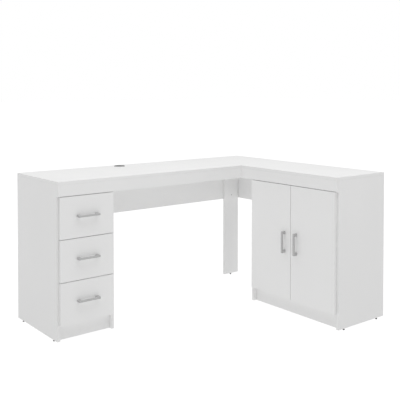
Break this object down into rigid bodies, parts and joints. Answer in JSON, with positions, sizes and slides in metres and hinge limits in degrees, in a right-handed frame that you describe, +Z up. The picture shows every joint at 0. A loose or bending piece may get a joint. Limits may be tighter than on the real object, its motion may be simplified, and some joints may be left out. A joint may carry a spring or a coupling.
{
  "type": "corner desk",
  "caption": "L-shaped corner desk with a drawer pedestal under the long wing, a hinged-door cupboard under the return wing and a board leg in the corner.",
  "frame": {"origin": "on the floor, under the centre of the desk's overall box", "axes": "+X along the long wing, from the drawer pedestal to the corner; +Y towards the wall behind the long wing; +Z up"},
  "size_m": [1.485, 1.137, 0.754],
  "materials": {
    "white_board": "white melamine-faced chipboard, satin",
    "hardboard": "white-painted hardboard, matt",
    "handle_metal": "brushed",
    "runner_steel": "white epoxy coat, satin",
    "hinge_steel": "nickel plated",
    "grommet_plastic": "moulded, matt",
    "glide_plastic": "moulded, matt"
  },
  "bodies": {
    "desk_frame": {"main_top": "white_board", "return_top": "white_board", "main_fascia": "white_board", "return_fascia": "white_board", "main_rail": "white_board", "return_rail": "white_board", "corner_leg": "white_board", "cable_grommet": "grommet_plastic", "pedestal_left_side": "white_board", "pedestal_right_side": "white_board", "pedestal_floor": "white_board", "pedestal_back": "hardboard", "pedestal_toe_kick": "white_board", "cupboard_side": "white_board", "end_panel": "white_board", "cupboard_floor": "white_board", "cupboard_back": "hardboard", "cupboard_toe_kick": "white_board", "cupboard_shelf": "white_board", "runner_1_left": "runner_steel", "runner_1_right": "runner_steel", "runner_2_left": "runner_steel", "runner_2_right": "runner_steel", "runner_3_left": "runner_steel", "runner_3_right": "runner_steel", "left_door_hinge_upper": "hinge_steel", "left_door_hinge_lower": "hinge_steel", "right_door_hinge_upper": "hinge_steel", "right_door_hinge_lower": "hinge_steel", "foot_pedestal_left_front": "glide_plastic", "foot_pedestal_left_rear": "glide_plastic", "foot_pedestal_right_front": "glide_plastic", "foot_pedestal_right_rear": "glide_plastic", "foot_cupboard_side_front": "glide_plastic", "foot_cupboard_side_rear": "glide_plastic", "foot_end_panel_front": "glide_plastic", "foot_end_panel_rear": "glide_plastic", "foot_corner_leg": "glide_plastic"},
    "drawer_1": {"drawer_1_front": "white_board", "drawer_1_left_side": "white_board", "drawer_1_right_side": "white_board", "drawer_1_back": "white_board", "drawer_1_bottom": "hardboard", "drawer_1_handle": "handle_metal"},
    "drawer_2": {"drawer_2_front": "white_board", "drawer_2_left_side": "white_board", "drawer_2_right_side": "white_board", "drawer_2_back": "white_board", "drawer_2_bottom": "hardboard", "drawer_2_handle": "handle_metal"},
    "drawer_3": {"drawer_3_front": "white_board", "drawer_3_left_side": "white_board", "drawer_3_right_side": "white_board", "drawer_3_back": "white_board", "drawer_3_bottom": "hardboard", "drawer_3_handle": "handle_metal"},
    "door_left": {"left_door": "white_board", "left_door_handle": "handle_metal"},
    "door_right": {"right_door": "white_board", "right_door_handle": "handle_metal"}
  },
  "joints": [
    {"name": "drawer_1_slide", "type": "slide", "parent": "desk_frame", "child": "drawer_1", "axis": [0, -1, 0], "range_m": [0, 0.26]},
    {"name": "drawer_2_slide", "type": "slide", "parent": "desk_frame", "child": "drawer_2", "axis": [0, -1, 0], "range_m": [0, 0.26]},
    {"name": "drawer_3_slide", "type": "slide", "parent": "desk_frame", "child": "drawer_3", "axis": [0, -1, 0], "range_m": [0, 0.26]},
    {"name": "left_door_swing", "type": "hinge", "parent": "desk_frame", "child": "door_left", "pos_m": [0.3845, 0.032, 0.3815], "axis": [0, 0, -1], "range_deg": [0, 105]},
    {"name": "right_door_swing", "type": "hinge", "parent": "desk_frame", "child": "door_right", "pos_m": [0.3845, -0.556, 0.3815], "axis": [0, 0, 1], "range_deg": [0, 105]}
  ]
}
